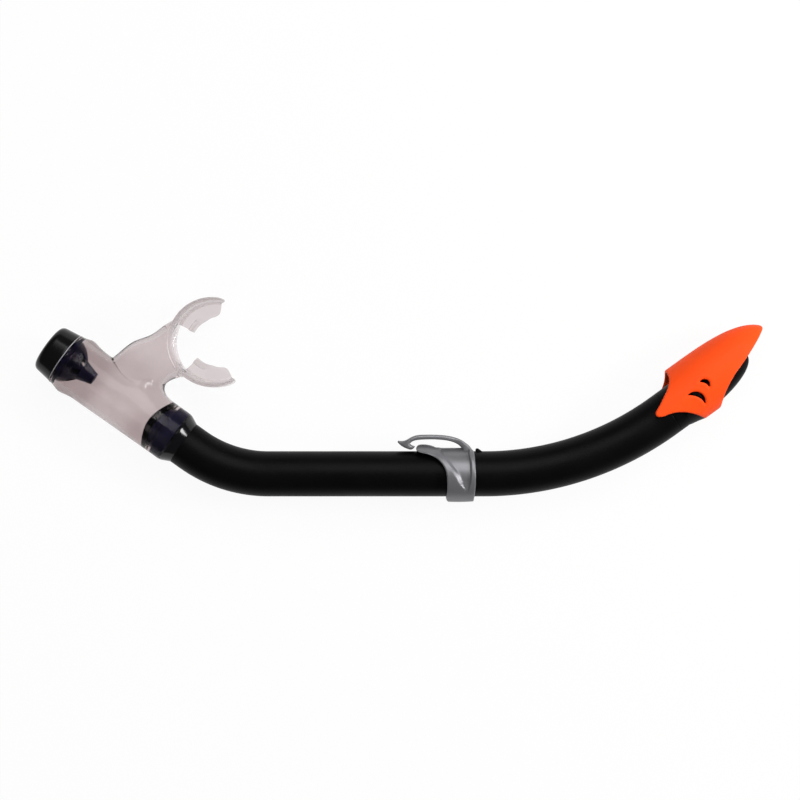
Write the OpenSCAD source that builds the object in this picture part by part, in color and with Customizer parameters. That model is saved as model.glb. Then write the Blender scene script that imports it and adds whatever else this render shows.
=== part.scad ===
// Snorkel: a bent breathing tube with a silicone mouthpiece and purge valve at its lower end,
// a strap clip half way up and a splash hood at its top. It lies on its side on the XY plane.

/* [Tube] */
// Outer diameter of the breathing tube
tube_od = 25.8; // [25:0.1:26.4]
// Wall of the breathing tube
tube_wall = 1.8; // [1.4:0.1:2.4]
// Straight length between the two bends
straight_len = 123; // [100:1:160]
// Radius of the lower bend, at the middle of the tube
lower_bend_r = 74; // [60:1:100]
// Angle that the lower bend turns through
lower_bend_angle = 35.5; // [28:0.5:42]
// Straight end of the tube below the lower bend
lower_end_len = 6.5; // [4:0.5:12]
// Radius of the upper bend, at the middle of the tube
upper_bend_r = 174; // [140:1:210]
// Angle that the upper bend turns through
upper_bend_angle = 36; // [28:0.5:44]
// Straight end of the tube above the upper bend
upper_end_len = 3; // [2:0.5:6]
// How much the bending thins the wall, on its inner and outer side
bend_thin = 0.03; // [0.02:0.01:0.05]

/* [Clip stop] */
// Length of the stop lug along the tube
lug_len = 4.2; // [3:0.1:6]
// Height of the stop lug above the tube
lug_h = 1.4; // [1:0.1:2]
// Width of the stop lug across the tube
lug_w = 6; // [4:0.5:9]

/* [Connector] */
// Length of the plug that is glued into the tube
plug_len = 14; // [10:0.5:18]
// Wall of the plug
plug_wall = 1.6; // [1.3:0.1:2]
// Length of the sloping shoulder outside the tube
shoulder_len = 5.8; // [4:0.1:8]
// Diameter of the spigot inside the mouthpiece sleeve
spigot_d = 26; // [25:0.1:27]
// Length of the spigot, from the shoulder to its end
spigot_len = 13.6; // [11:0.1:16]
// How far the bead stands out of the spigot
bead_h = 1.1; // [0.8:0.1:1.4]
// Width of the bead at the spigot's end
bead_w = 4; // [3:0.1:5]

/* [Mouthpiece barrel] */
// Length of the barrel, from the shoulder to the purge cap
barrel_len = 77.3; // [74:0.1:84]
// Wall of the barrel at its sleeve
barrel_wall = 2.6; // [2.2:0.1:3]
// How much the barrel widens towards the purge end
barrel_flare = 0.5; // [0.2:0.1:0.9]
// Diameter of the bulge round the purge valve
bulge_d = 34.8; // [34:0.1:36]
// Distance of the bulge's crown from the purge cap
bulge_back = 7.8; // [6.5:0.1:9]
// Length of the bulge's crown
bulge_crown = 3; // [2:0.1:4]
// Length of the slope from the bulge to the barrel
bulge_slope = 8; // [6:0.5:10]

/* [Mouthpiece lip] */
// Place of the lip plate along the barrel, from the purge cap
lip_back = 46.3; // [44:0.1:49]
// Place of the lip plate out from the barrel's axis
lip_out = 40.5; // [38.5:0.1:44]
// Angle between the mouth and the barrel
mouth_angle = 43.5; // [38:0.5:48]
// Width of the lip plate from tip to tip
lip_w = 51.4; // [48:0.2:56]
// Height of the lip plate at its middle
lip_h = 34.6; // [30:0.2:35]
// Thickness of the lip plate
lip_t = 2.6; // [2:0.1:3.2]
// How much lower the lip plate is at its ends, on each side
lip_drop = 6; // [4:0.5:8]
// Angle of the lip plate's tips, seen from the middle of its curve
lip_tip_angle = 68; // [62:1:71]
// Width of a bite tab, from the lip plate inwards
tab_w = 9.6; // [8:0.1:11]
// Thickness of a bite tab
tab_t = 4; // [3:0.1:5]
// Width of the ridge along a bite tab's inner edge
ridge_w = 2.6; // [2:0.1:3.4]
// Height of the ridge along a bite tab's inner edge
ridge_h = 11; // [8:0.5:14]
// Angle of the bite tab's front end
tab_front_angle = 74; // [72:1:80]
// Angle of the bite tab's back end
tab_back_angle = 145; // [136:1:148]

/* [Mouthpiece stem] */
// Wall of the stem between barrel and lip plate
stem_wall = 2.3; // [1.8:0.1:2.8]
// Width of the stem at the lip plate
stem_w = 35; // [32:0.5:37]
// Height of the stem at the lip plate
stem_h = 24; // [21:0.5:26]
// Width of the mouth opening in the lip plate
mouth_w = 24; // [20:0.5:26]
// Height of the mouth opening in the lip plate
mouth_h = 17; // [14:0.5:19]
// Height of the stem at the barrel
stem_root_h = 22.4; // [20:0.2:24]

/* [Purge valve] */
// Length of the valve body's ring inside the barrel
ring_len = 5; // [4:0.1:6.5]
// Length of the valve body's ring inside the cap
ring_out_len = 3.2; // [2.5:0.1:4]
// Wall of the valve body's ring
ring_wall = 2; // [1.6:0.1:2.6]
// How far the holding rib stands out of the ring
rib_h = 1.4; // [1:0.1:1.6]
// Width of the holding rib
rib_w = 2; // [1.5:0.1:2.6]
// Thickness of the valve seat
seat_t = 1.2; // [1:0.1:1.6]
// Width of the land that the flap closes on
land_w = 1.5; // [1:0.1:2]
// Number of spokes in the valve seat
spokes = 6; // [4:1:8]
// Width of a spoke
spoke_w = 1.4; // [1:0.1:2]
// Diameter of the seat's hub
hub_d = 7; // [6:0.1:9]
// Length of the cone-shaped cage behind the seat
cage_len = 15.5; // [12:0.5:18]
// Diameter of the cage at its small end
cage_tip_d = 7; // [6:0.1:9]
// Wall of the cage
cage_wall = 1.1; // [0.9:0.1:1.5]
// Width of a window in the cage
window_w = 3.4; // [2.6:0.1:4.2]

/* [Purge flap] */
// Thickness of the flap
flap_t = 0.8; // [0.6:0.1:1.2]
// Diameter of the flap's stem
flap_stem_d = 3.2; // [2.6:0.1:4]
// How far the flap lifts
flap_lift = 1.2; // [0.8:0.1:1.6]
// Diameter of the bulb that holds the stem in the hub
bulb_d = 4.6; // [4.2:0.1:5.4]
// Length of the bulb
bulb_len = 2; // [1.5:0.1:2.4]

/* [Purge cap] */
// Height of the cap, from the barrel to its end face
cap_h = 13.4; // [12.5:0.1:15.5]
// Diameter of the cap at the barrel
cap_base_d = 31.2; // [30.6:0.1:33]
// Diameter of the cap at its end, before the rounding
cap_end_d = 28.6; // [27:0.1:30]
// Wall of the cap's end face
cap_wall = 2; // [1.6:0.1:2.6]
// Rounding of the cap's end
cap_round = 4; // [3:0.1:5]
// Height of the end face's dome
cap_dome = 0.6; // [0.4:0.1:1]
// Number of vents in the end face
vents = 6; // [4:1:8]
// Width of a vent
vent_w = 2.6; // [2:0.1:3.4]

/* [Strap clip] */
// Place of the clip along the straight, from its middle
clip_pos = 48.3; // [40:0.1:50]
// Length of the collar round the lower side of the tube
collar_len = 16; // [14:0.5:18]
// Width of the collar across the tube
collar_d = 34.8; // [33:0.1:36]
// Height of the collar below the tube's middle
collar_drop = 16.1; // [15.6:0.1:17]
// Wall of the collar between tube and strap
saddle_t = 2.1; // [1.8:0.1:2.4]
// How far the nose reaches in front of the collar
nose_len = 17.6; // [14:0.1:20]
// Height of the nose above the saddle
nose_h = 1.9; // [1.4:0.1:2.2]
// Height of the slot for the strap
strap_gap = 4.4; // [4.1:0.1:5.4]
// Thickness of the gate
gate_t = 3; // [2.4:0.1:3.6]
// Width of the gate across the tube
gate_w = 12; // [9:0.5:15]
// Length of the gate, from its root to its thumb tip
gate_len = 39; // [38:0.1:40.5]
// Diameter of the gate's root
root_d = 4.4; // [3.8:0.1:4.8]
// Distance of the root's middle from the collar's back edge
root_back = 5.8; // [5.2:0.1:6.4]
// Height of the root's middle above the saddle
root_lift = 1.1; // [0.9:0.1:1.3]
// Diameter of the root's pin
pin_d = 2.2; // [1.8:0.1:2.4]
// Thickness of a cheek beside the root
cheek_t = 2.2; // [1.8:0.1:2.6]

/* [Splash top] */
// Length of the cowl beyond the tube
cowl_len = 57; // [50:0.5:64]
// Length of the cowl's rounded nose
cowl_nose = 40; // [34:0.5:46]
// Width of the cowl's air window
air_w = 15; // [12:0.5:18]
// Length of the cowl's air window
air_len = 24; // [18:0.5:28]
// Outer diameter of the splash hood
hood_d = 35.8; // [35.2:0.1:36.6]
// Wall of the splash hood
hood_wall = 1.7; // [1.3:0.1:2.2]
// Length of the hood's nose beyond its back edge
hood_nose = 61; // [58:0.5:66]
// Place of the hood's back edge, from the upper bend
hood_back = 16.4; // [14:0.1:18]
// How far the hood's axis lies above the tube's
hood_rise = 2.5; // [2.3:0.1:2.8]
// How far the hood's ears reach back over the tube
ear_reach = 21.5; // [19:0.1:24]
// Height of the hood's tip above the tube's axis
tip_rise = 8.4; // [7:0.1:10]
// Length of the hood's floor under the cowl
floor_len = 10; // [8:0.1:12]
// How far the cowl's seat ring lies inside the hood's back edge
seat_ring_in = 2; // [1.5:0.1:3]
// Length of the cowl's seat ring under the hood
seat_ring_len = 4; // [3:0.1:5]
// Length of the large gill slot
gill_len = 11.4; // [9:0.1:12.5]
// Length of the small gill slot
small_gill_len = 6.2; // [5.2:0.1:7.2]

/* [Clearances] */
// Gap round a glued or pushed-in piece
fit_gap = 0.05; // [0.02:0.01:0.1]
// Gap round a piece that turns by hand
turn_gap = 0.1; // [0.06:0.01:0.15]
// Gap between flat ends of pieces that turn
end_gap = 0.3; // [0.2:0.05:0.5]
// Gap between the clip and its stop lug
stop_gap = 0.6; // [0.4:0.1:1]

/* [Hidden] */
$fn = 64;

// Overshoot of a cut past the face that it opens
cut = 1;
// How far a straight leg of the tube runs on into a bend
leg_lap = 0.4;

// Tube
tube_r = tube_od / 2;
bore_r = tube_r - tube_wall;
lower_end = [-straight_len / 2 - lower_bend_r * sin(lower_bend_angle),
             lower_bend_r * (1 - cos(lower_bend_angle))];
upper_end = [straight_len / 2 + upper_bend_r * sin(upper_bend_angle),
             upper_bend_r * (1 - cos(upper_bend_angle))];
plug_r = bore_r - fit_gap;
// How far a plug is drawn in at its inner end, to stay clear of the bend that it reaches into
lower_lead = pow(plug_len - lower_end_len, 2) / (2 * lower_bend_r) + fit_gap;
upper_lead = pow(plug_len - upper_end_len, 2) / (2 * upper_bend_r) + fit_gap;

// Distances along the lower axis, from the end of the lower bend towards the purge cap
shoulder_t = lower_end_len + shoulder_len;
sleeve_t = shoulder_t + end_gap;
seam_t = shoulder_t + barrel_len;
lip_along = seam_t - lip_back;

// Barrel
spigot_r = spigot_d / 2;
sleeve_r = spigot_r + turn_gap;
barrel_r = sleeve_r + barrel_wall;
bulge_r = bulge_d / 2;

// Lip plate and stem: the stem's roots are [along, out] places on the barrel, and its pulls are
// the points in the lip's frame that its upper and lower outline bend towards
lip_r = lip_w / 2;
lip_in_r = lip_r - lip_t;
lip_mid_r = lip_r - lip_t / 2;
stem_upper_root = [26.8, 11.6];
stem_lower_root = [14.8, 8];
stem_upper_pull = [-12, 11];
stem_lower_pull = [-12.9, -15];
stem_end_x = lip_mid_r - sqrt(lip_mid_r * lip_mid_r - stem_w * stem_w / 4) + lip_t / 2;

// Purge valve
ring_r = sleeve_r - fit_gap;
ring_in_r = ring_r - ring_wall;
land_r = ring_in_r - land_w;
flap_r = ring_in_r - end_gap;
seat_t0 = seam_t - seat_t - fit_gap;
seat_t1 = seat_t0 + seat_t;
cage_t = seam_t - ring_len;
hub_hole_d = flap_stem_d + 2 * turn_gap;
cap_in_r = ring_r + fit_gap;

// Strap clip
collar_in_r = tube_r + turn_gap;
collar_x1 = clip_pos + collar_len / 2;
collar_x0 = clip_pos - collar_len / 2;
saddle_y = collar_in_r + saddle_t;
gate_y0 = saddle_y + strap_gap;
root_r = root_d / 2;
root_x = collar_x1 - root_back;
root_y = saddle_y + root_lift;
pin_r = pin_d / 2;
cheek_r = root_r;
lug_x = collar_x1 + stop_gap;

// Splash top
hood_r = hood_d / 2;
hood_in_r = hood_r - hood_wall;
seat_ring_r = hood_in_r - fit_gap;
cowl_t = upper_end_len;
cowl_tip = cowl_t + cowl_len;
cowl_in_r = plug_r - plug_wall;
ear_u = hood_back - ear_reach;
seat_ring_u = hood_back + seat_ring_in;
floor_u0 = seat_ring_u;
floor_u1 = floor_u0 + floor_len;
// Power that makes the hood's nose blunt, and the place where its tip edge meets the nose
hood_power = 3.4;
tip_u = hood_back + hood_nose * pow(1 - pow((tip_rise - hood_rise) / hood_r, 2), 1 / hood_power);
// Gill slots: place from the hood's back edge, turn, and how far their two arcs rise
gill_at = [2.3, -2.35];
gill_turn = 30;
gill_rises = [4.3, 1.6];
small_gill_at = [10.8, 1.9];
small_gill_turn = 27;
small_gill_rises = [3.1, 0.9];

// Height of the tube's middle above the surface that the snorkel lies on
rest_h = max(bulge_r, hood_r, collar_d / 2, lip_h / 2);

// Extent in the plane, which puts the origin under the middle of the whole snorkel
cap_corner = [seam_t + cap_h - cap_dome - cap_round, cap_end_d / 2 - cap_round];
lip_mid_y = lower_end[1] + lip_along * sin(lower_bend_angle) + lip_out * cos(lower_bend_angle);
x_min = lower_end[0] - cap_round
    - cap_corner[0] * cos(lower_bend_angle) - cap_corner[1] * sin(lower_bend_angle);
x_max = upper_end[0] + tip_u * cos(upper_bend_angle) - tip_rise * sin(upper_bend_angle);
y_min = -collar_drop;
y_max = lip_mid_y + lip_mid_r * sin(mouth_angle - lower_bend_angle) + lip_r;
middle = [(x_min + x_max) / 2, (y_min + y_max) / 2];

// Points of a quadratic curve from p to q that is drawn towards c, without q
function bend(p, c, q, n = 8) =
    [for (i = [0 : n - 1]) let (s = i / n) (1 - s) * (1 - s) * p + 2 * s * (1 - s) * c + s * s * q];

// Profile [radius, place] of a rounded nose that starts at u with radius r and closes after len
function nose(u, len, r, power, n = 12) =
    [for (i = [0 : n]) let (s = sin(90 * i / n)) [r * sqrt(max(0, 1 - pow(s, power))), u + len * s]];

// Lays the snorkel down with its middle over the origin
module lay() {
    translate([-middle[0], -middle[1], rest_h]) children();
}

// Frame at the end of the lower bend, with +X running on towards the purge cap
module at_lower_end() {
    lay() translate(lower_end) rotate(180 - lower_bend_angle) children();
}

// Frame at the end of the upper bend, with +X running on towards the hood's tip
module at_upper_end() {
    lay() translate(upper_end) rotate(upper_bend_angle) children();
}

// Frame at the middle of the lip plate, with +X pointing into the mouth
module at_lip() {
    at_lower_end() translate([lip_along, -lip_out]) rotate(180 + mouth_angle) children();
}

// Turns a profile of [radius, place] points into a solid round the X axis
module turned() {
    rotate([0, 90, 0]) rotate_extrude() children();
}

// Round bar along X from a to b
module bar(r, a, b) {
    translate([a, 0, 0]) rotate([0, 90, 0]) cylinder(r = r, h = b - a);
}

// Round tube along X from a to b
module straight_leg(a, b) {
    difference() {
        bar(tube_r, a, b);
        bar(bore_r, a - cut, b + cut);
    }
}

// Round tube that turns through an angle at radius r, its wall thinned by the bending
module bent_leg(r, angle) {
    rotate_extrude(angle = angle) translate([r, 0]) difference() {
        circle(tube_r - bend_thin);
        circle(bore_r + bend_thin);
    }
}

// Ramp on the tube's upper side that stops the clip
module stop_lug() {
    lug_root = tube_r - tube_wall / 2;
    lug_top = tube_r + lug_h;
    translate([0, 0, -lug_w / 2]) linear_extrude(lug_w) polygon([
        [lug_x, lug_root], [lug_x, lug_top], [lug_x + lug_len / 3, lug_top],
        [lug_x + lug_len, tube_r], [lug_x + lug_len, lug_root]]);
}

// Bent tube of black plastic
module tube() {
    half = straight_len / 2;
    color([0.06, 0.06, 0.06]) lay() {
        straight_leg(-half - leg_lap, half + leg_lap);
        translate([-half, lower_bend_r]) rotate(-90 - lower_bend_angle)
            bent_leg(lower_bend_r, lower_bend_angle);
        translate([half, upper_bend_r]) rotate(-90) bent_leg(upper_bend_r, upper_bend_angle);
        translate(lower_end) rotate(180 - lower_bend_angle) straight_leg(-leg_lap, lower_end_len);
        translate(upper_end) rotate(upper_bend_angle) straight_leg(-leg_lap, upper_end_len);
        stop_lug();
    }
}

// End fitting: a plug glued into the tube, a sloping shoulder and the spigot that carries the mouthpiece
module lower_connector() {
    in_r = plug_r - plug_wall;
    spigot_t = shoulder_t + spigot_len;
    bead_r = spigot_r + bead_h;
    bead_edge = bead_h / 2;
    color([0.07, 0.07, 0.08]) at_lower_end() turned() polygon([
        [in_r, lower_end_len - plug_len], [plug_r - lower_lead, lower_end_len - plug_len],
        [plug_r, 0], [plug_r, lower_end_len], [tube_r, lower_end_len],
        [barrel_r, shoulder_t - shoulder_len / 4], [barrel_r, shoulder_t],
        [spigot_r, shoulder_t], [spigot_r, spigot_t - bead_w],
        [bead_r, spigot_t - bead_w + bead_edge], [bead_r, spigot_t - bead_edge],
        [spigot_r, spigot_t], [in_r, spigot_t]]);
}

// Outer shape of the barrel, with the bulge round the purge valve
module barrel_outside() {
    crown_t = seam_t - bulge_back;
    flare_r = barrel_r + barrel_flare;
    turned() polygon([
        [0, sleeve_t], [barrel_r, sleeve_t], [barrel_r, sleeve_t + spigot_len],
        [flare_r, crown_t - bulge_crown / 2 - bulge_slope], [bulge_r, crown_t - bulge_crown / 2],
        [bulge_r, crown_t + bulge_crown / 2], [cap_base_d / 2, seam_t], [0, seam_t]]);
}

// Inside of the barrel: its bore, the groove for the connector's bead and the groove for the valve's rib
module barrel_inside() {
    groove_r = spigot_r + bead_h + turn_gap;
    groove_t0 = shoulder_t + spigot_len - bead_w - end_gap;
    groove_t1 = shoulder_t + spigot_len + end_gap;
    rib_t = cage_t + ring_len / 2;
    bar(sleeve_r, sleeve_t - cut, seam_t + cut);
    bar(groove_r, groove_t0, groove_t1);
    bar(ring_r + rib_h + fit_gap, rib_t - rib_w / 2 - fit_gap, rib_t + rib_w / 2 + fit_gap);
}

// Points of one oval ring of the stem between plan points p and q, half height h, drawn in by wall
function stem_ring(p, q, h, wall, n) =
    let (m = (p + q) / 2, d = p - q, half = norm(d) / 2 - wall, e = d / norm(d))
    [for (i = [0 : n - 1]) let (a = 360 * i / n)
        [m[0] + e[0] * half * cos(a), m[1] + e[1] * half * cos(a), (h - wall) * sin(a)]];

// Solid through rings of n points each
module loft(rings, n) {
    last = len(rings) - 1;
    points = [for (ring = rings) each ring];
    sides = [for (k = [0 : last - 1]) for (i = [0 : n - 1]) let (j = (i + 1) % n)
        each [[k * n + i, (k + 1) * n + i, k * n + j], [k * n + j, (k + 1) * n + i, (k + 1) * n + j]]];
    first_cap = [for (i = [1 : n - 2]) [0, i, i + 1]];
    last_cap = [for (i = [1 : n - 2]) [last * n, last * n + i + 1, last * n + i]];
    polyhedron(points = points, faces = concat(sides, first_cap, last_cap));
}

// Stem that leaves the barrel and widens into the lip plate, drawn in by wall
module stem(wall, width, height, end_x) {
    sides = 32;
    steps = 8;
    // Foot of the lip plate on the barrel's axis, and the ways along and out of the barrel
    foot = lip_out * [-sin(mouth_angle), -cos(mouth_angle)];
    along = [cos(mouth_angle), -sin(mouth_angle)];
    out = [sin(mouth_angle), cos(mouth_angle)];
    upper_root = foot - stem_upper_root[0] * along + stem_upper_root[1] * out;
    lower_root = foot + stem_lower_root[0] * along + stem_lower_root[1] * out;
    upper_lip = [end_x, width / 2];
    lower_lip = [end_x, -width / 2];
    upper = concat(bend(upper_root, stem_upper_pull, upper_lip, steps), [upper_lip]);
    lower = concat(bend(lower_root, stem_lower_pull, lower_lip, steps), [lower_lip]);
    loft([for (k = [0 : steps])
        stem_ring(upper[k], lower[k], (stem_root_h + (height - stem_root_h) * k / steps) / 2, wall, sides)],
        sides);
}

// Flat sector of a ring, from angle a to b
module sector(r0, r1, a, b) {
    steps = 5;
    intersection() {
        difference() {
            circle(r1);
            circle(r0);
        }
        polygon(concat([[0, 0]],
            [for (i = [0 : steps]) let (d = a + (b - a) * i / steps) 2 * r1 * [cos(d), sin(d)]]));
    }
}

// Plate of a given height over a flat shape, half above and half below the middle plane
module plate(height) {
    translate([0, 0, -height / 2]) linear_extrude(height) children();
}

// Space between the two arched edges of the lip plate
module lip_front() {
    // Radius of an edge that falls by lip_drop between the middle and the tip
    edge_r = (lip_r * lip_r + lip_drop * lip_drop) / (2 * lip_drop);
    intersection_for (side = [-1, 1])
        translate([0, 0, side * (edge_r - lip_h / 2)]) bar(edge_r, -lip_w, lip_w);
}

// Lip plate and bite tabs round the middle of their common curve
module lip() {
    tab_r = lip_in_r - tab_w;
    intersection() {
        plate(lip_h) sector(lip_in_r, lip_r, lip_tip_angle, 360 - lip_tip_angle);
        lip_front();
    }
    for (side = [0, 1]) mirror([0, side, 0]) {
        plate(tab_t) sector(tab_r, lip_mid_r, tab_front_angle, tab_back_angle);
        plate(ridge_h) sector(tab_r, tab_r + ridge_w, tab_front_angle, tab_back_angle);
    }
}

// Soft clear moulding: barrel, stem, lip plate and bite tabs in one piece
module mouthpiece() {
    color([0.85, 0.81, 0.80, 0.6]) difference() {
        union() {
            at_lower_end() barrel_outside();
            at_lip() difference() {
                stem(0, stem_w, stem_h, stem_end_x);
                translate([lip_mid_r, 0, 0]) plate(lip_h) circle(lip_mid_r);
            }
            at_lip() translate([lip_mid_r, 0, 0]) lip();
        }
        at_lower_end() barrel_inside();
        at_lip() stem(stem_wall, mouth_w + 2 * stem_wall, mouth_h + 2 * stem_wall, stem_end_x + lip_t);
    }
}

// Cage behind the seat: a hollow cone that closes in towards the mouthpiece, with a row of windows
module cage() {
    tip_r = cage_tip_d / 2;
    waist = [0.35, 0.42];
    mid_r = tip_r + (ring_in_r - tip_r) * waist[0];
    tip_t = cage_t - cage_len;
    mid_t = cage_t - cage_len * waist[1];
    difference() {
        turned() polygon([
            [0, tip_t], [tip_r, tip_t], [mid_r, mid_t], [ring_r, cage_t], [ring_in_r, cage_t],
            [mid_r - cage_wall, mid_t], [tip_r - cage_wall, tip_t + cage_wall], [0, tip_t + cage_wall]]);
        for (i = [0 : spokes - 1]) rotate([360 * (i + 0.5) / spokes, 0, 0])
            translate([mid_t, -window_w / 2, tip_r])
                cube([cage_t - mid_t - 2 * cage_wall, window_w, ring_r]);
    }
}

// Valve body: ring with its holding rib, seat with spokes and hub, and the cage
module purge_body() {
    rib_t = cage_t + ring_len / 2;
    color([0.08, 0.08, 0.12]) at_lower_end() {
        turned() polygon([
            [ring_in_r, cage_t], [ring_r, cage_t], [ring_r, rib_t - rib_w / 2],
            [ring_r + rib_h, rib_t - rib_w / 2], [ring_r + rib_h, rib_t + rib_w / 2],
            [ring_r, rib_t + rib_w / 2], [ring_r, seam_t + ring_out_len],
            [ring_in_r, seam_t + ring_out_len], [ring_in_r, seat_t1], [land_r, seat_t1],
            [land_r, seat_t0], [ring_in_r, seat_t0]]);
        difference() {
            union() {
                bar(hub_d / 2, seat_t0, seat_t1);
                for (i = [0 : spokes - 1]) rotate([360 * i / spokes, 0, 0])
                    translate([seat_t0, -spoke_w / 2, hub_d / 2 - cut])
                        cube([seat_t, spoke_w, land_r - hub_d / 2 + cut + land_w / 2]);
            }
            bar(hub_hole_d / 2, seat_t0 - cut, seat_t1 + cut);
        }
        cage();
    }
}

// Soft mushroom flap on the outer side of the seat, with its stem and bulb through the hub
module purge_flap() {
    stem_r = flap_stem_d / 2;
    lift_room = flap_lift + end_gap;
    color([0.8, 0.8, 0.82]) at_lower_end() turned() polygon([
        [0, seat_t0 - lift_room - bulb_len], [stem_r, seat_t0 - lift_room - bulb_len],
        [bulb_d / 2, seat_t0 - lift_room - bulb_len / 2], [bulb_d / 2, seat_t0 - lift_room],
        [stem_r, seat_t0 - lift_room], [stem_r, seat_t1 + fit_gap], [flap_r, seat_t1 + fit_gap],
        [flap_r, seat_t1 + fit_gap + flap_t / 2], [stem_r, seat_t1 + fit_gap + flap_t],
        [0, seat_t1 + fit_gap + flap_t]]);
}

// Rounded black cap over the valve, with vents in its end face
module purge_cap() {
    cap_t0 = seam_t + fit_gap;
    cap_t1 = seam_t + cap_h;
    end_r = cap_end_d / 2;
    room_r = ring_in_r;
    skirt_t = seam_t + ring_out_len + fit_gap;
    face_t = cap_t1 - cap_dome;
    steps = 5;
    rounding = [for (i = [0 : steps]) let (a = 90 * i / steps)
        [end_r - cap_round + cap_round * cos(a), face_t - cap_round + cap_round * sin(a)]];
    color([0.05, 0.05, 0.05]) at_lower_end() difference() {
        turned() polygon(concat(
            [[cap_in_r, cap_t0], [cap_base_d / 2, cap_t0]], rounding,
            [[0, cap_t1], [0, face_t - cap_wall], [room_r, face_t - cap_wall],
             [room_r, skirt_t], [cap_in_r, skirt_t]]));
        for (i = [0 : vents - 1]) rotate([360 * i / vents, 0, 0])
            translate([face_t - cap_wall - cut, -vent_w / 2, vent_w])
                cube([cap_wall + cap_dome + 2 * cut, vent_w, end_r - cap_round - vent_w]);
    }
}

// Side view of the collar: band under the tube, swept front edge, nose and flat saddle for the strap
module collar_outline() {
    bevel = 1;
    nose_round = 2.8;
    nose_x = collar_x0 - nose_len;
    nose_y = saddle_y + nose_h;
    tip_y = collar_in_r + saddle_t / 2;
    front_drop = 2;
    front_y = collar_in_r - front_drop;
    sweep_y = -2;
    rise_x = collar_x0 - nose_len / 2;
    polygon(concat(
        [[collar_x0 + bevel, -collar_drop], [collar_x1 - bevel, -collar_drop],
         [collar_x1, -collar_drop + bevel], [collar_x1, saddle_y - bevel], [collar_x1 - bevel, saddle_y]],
        bend([rise_x, saddle_y], [rise_x - nose_round, nose_y], [nose_x + nose_round, nose_y], 4),
        bend([nose_x + nose_round, nose_y], [nose_x + bevel, nose_y], [nose_x, tip_y], 4),
        bend([nose_x, tip_y], [nose_x, front_y], [nose_x + nose_round, front_y], 4),
        bend([nose_x + nose_round, front_y], [collar_x0, front_y + sweep_y], [collar_x0, sweep_y], 6),
        [[collar_x0, sweep_y], [collar_x0, -collar_drop + bevel]]));
}

// Cheek beside the gate's root, with its foot in the saddle
module cheek() {
    translate([root_x, root_y, 0]) cylinder(r = cheek_r, h = cheek_t);
    translate([root_x - cheek_r, saddle_y - saddle_t / 2, 0])
        cube([2 * cheek_r, root_lift + saddle_t / 2, cheek_t]);
}

// Grey collar that turns on the tube and carries the strap saddle and the gate's hinge
module clip_collar() {
    groove_w = gate_w + 2 * turn_gap;
    color([0.55, 0.55, 0.57]) lay() difference() {
        union() {
            intersection() {
                bar(collar_d / 2, collar_x0 - nose_len - cut, collar_x1 + cut);
                plate(2 * collar_d) collar_outline();
            }
            for (side = [0, 1]) mirror([0, 0, side]) translate([0, 0, groove_w / 2]) cheek();
        }
        bar(collar_in_r, collar_x0 - nose_len - 2 * cut, collar_x1 + 2 * cut);
        translate([root_x, root_y, 0]) plate(groove_w) circle(root_r + end_gap);
        translate([root_x, root_y, 0]) plate(2 * collar_d) circle(pin_r + turn_gap);
    }
}

// Side view of the gate: root, rising bow, straight run, thumb tip and the barb in front of the nose
module gate_outline() {
    bow = 11;
    run = 14;
    thumb = 9.4;
    thumb_drop = 3.6;
    thumb_bevel = 2;
    thumb_edge = 0.6;
    thumb_depth = 2.6;
    hook_foot = 3;
    root_lean = 1;
    tip_x = root_x - gate_len;
    top_y = gate_y0 + gate_t;
    low_y = collar_in_r + saddle_t / 2;
    tip_y = top_y - thumb_drop;
    shoulder = [root_x - root_r, gate_y0 + gate_t / 2];
    thumb_top = [tip_x + thumb_bevel, tip_y];
    barb = [tip_x + thumb, low_y + 2.2];
    notch = [barb[0] - 1.6, low_y + 3.4];
    polygon(concat(
        bend([root_x + root_r, root_y], [root_x + root_r - root_lean, root_y + root_r], shoulder),
        bend(shoulder, [root_x - bow + root_r, top_y], [root_x - bow, top_y], 4),
        bend([tip_x + run, top_y], [tip_x + thumb, top_y], thumb_top, 6),
        [thumb_top, [tip_x, tip_y - thumb_edge], [tip_x + thumb_bevel, tip_y - thumb_depth],
         [barb[0] - hook_foot, low_y], barb, notch],
        bend(notch, [tip_x + thumb, gate_y0], [tip_x + run, gate_y0], 4),
        bend([root_x - bow - root_r, gate_y0], [root_x - root_r, gate_y0], [root_x - root_r, root_y])));
}

// Springy gate over the strap slot, with the pin of its root
module clip_gate() {
    color([0.6, 0.6, 0.62]) lay() {
        plate(gate_w) gate_outline();
        translate([root_x, root_y, 0]) plate(gate_w) circle(root_r);
        translate([root_x, root_y, 0]) plate(gate_w + 2 * (turn_gap + cheek_t)) circle(pin_r);
    }
}

// Black cowl: plug in the tube, round-nosed body with an air window, and the seat of the hood
module top_cowl() {
    nose_u = cowl_tip - cowl_nose;
    air_back = 4;
    air_u = seat_ring_u + seat_ring_len + air_back;
    color([0.06, 0.06, 0.06]) at_upper_end() difference() {
        union() {
            turned() polygon(concat(
                [[0, cowl_t - plug_len], [plug_r - upper_lead, cowl_t - plug_len], [plug_r, 0],
                 [plug_r, cowl_t], [tube_r, cowl_t]],
                nose(nose_u, cowl_nose, tube_r, 2)));
            translate([0, hood_rise, 0]) bar(seat_ring_r, seat_ring_u, seat_ring_u + seat_ring_len);
            fairing(hood_r - fit_gap);
        }
        bar(cowl_in_r, cowl_t - plug_len - cut, nose_u);
        turned() polygon(concat([[0, nose_u - cut], [cowl_in_r, nose_u - cut]],
            nose(nose_u, cowl_nose - tube_wall, cowl_in_r, 2)));
        translate([air_u, 0, -air_w / 2]) cube([air_len, 2 * tube_r, air_w]);
    }
}

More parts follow.
